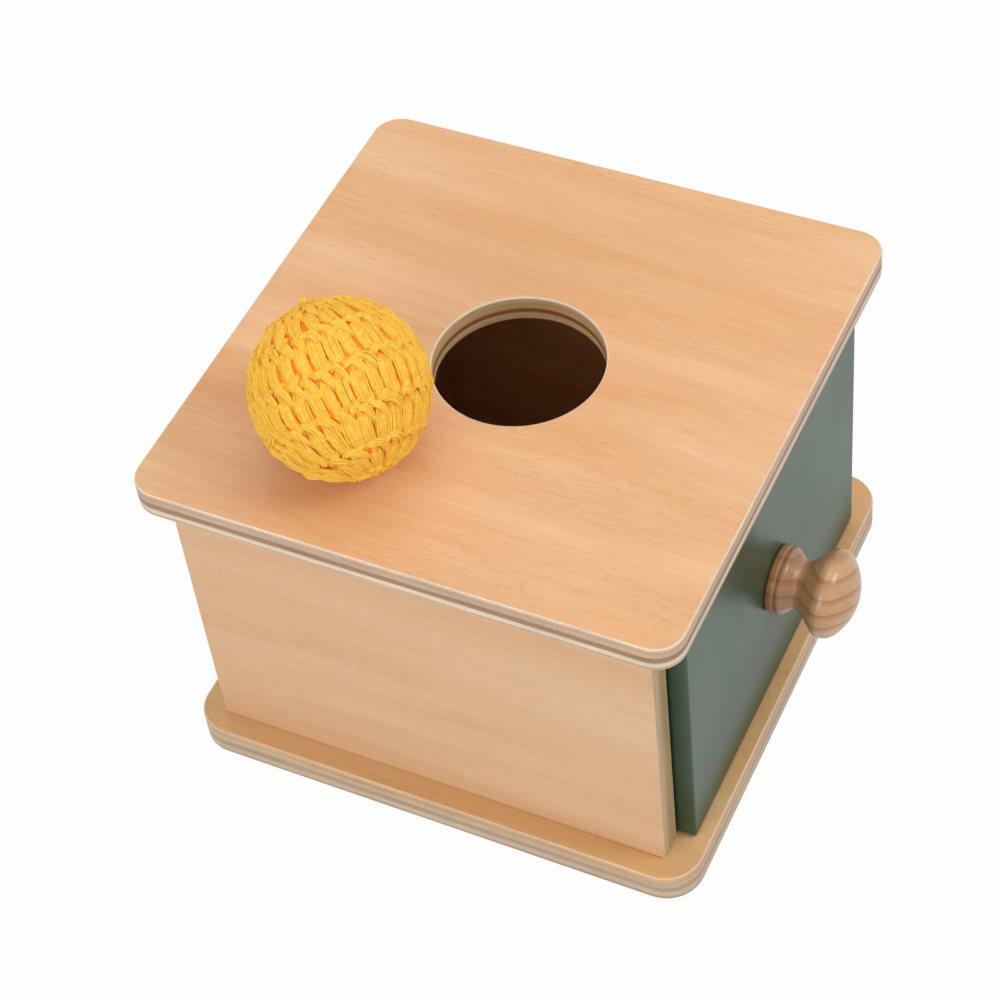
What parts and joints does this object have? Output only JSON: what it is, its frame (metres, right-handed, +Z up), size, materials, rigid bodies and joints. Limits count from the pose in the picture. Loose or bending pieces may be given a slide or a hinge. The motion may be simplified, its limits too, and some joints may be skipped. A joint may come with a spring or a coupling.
{
  "type": "object permanence box",
  "caption": "Plywood toddler box with a round drop hole in its overhanging top plate, a painted drawer with a turned wooden knob, and a crocheted ball that drops through the hole.",
  "frame": {"origin": "centre of the base plate's underside", "axes": "+Z up, parallel to the axis of the drop hole; -Y out of the drawer front; +X to the right of someone facing the drawer"},
  "size_m": [0.2, 0.2253, 0.2056],
  "materials": {
    "plywood": "satin varnish over light veneer, layered edges",
    "tray_wood": "bare sanded",
    "green_paint": "satin paint on wood",
    "turned_wood": "semi-gloss varnish",
    "dowel_wood": "bare",
    "screw_steel": "zinc plated",
    "yellow_yarn": "crocheted yarn",
    "filling_fibre": "loose fibre"
  },
  "bodies": {
    "box": {"base_plate": "plywood", "top_plate": "plywood", "left_side_panel": "plywood", "right_side_panel": "plywood", "back_panel": "plywood", "top_dowels": "dowel_wood", "base_screws": "screw_steel", "back_dowels": "dowel_wood"},
    "drawer": {"drawer_front": "green_paint", "drawer_left_side": "tray_wood", "drawer_right_side": "tray_wood", "drawer_back": "tray_wood", "drawer_bottom": "tray_wood", "drawer_front_dowels": "dowel_wood", "drawer_back_dowels": "dowel_wood", "knob": "turned_wood", "knob_screw": "screw_steel"},
    "ball": {"ball_cover": "yellow_yarn", "ball_filling": "filling_fibre"}
  },
  "joints": [
    {"name": "drawer_slide", "type": "slide", "parent": "box", "child": "drawer", "axis": [0, -1, 0], "range_m": [0, 0.125]},
    {"name": "ball_carry", "type": "slide", "parent": "box", "child": "ball", "axis": [0.8515, -0.5244, 0], "range_m": [0, 0.0679]}
  ]
}
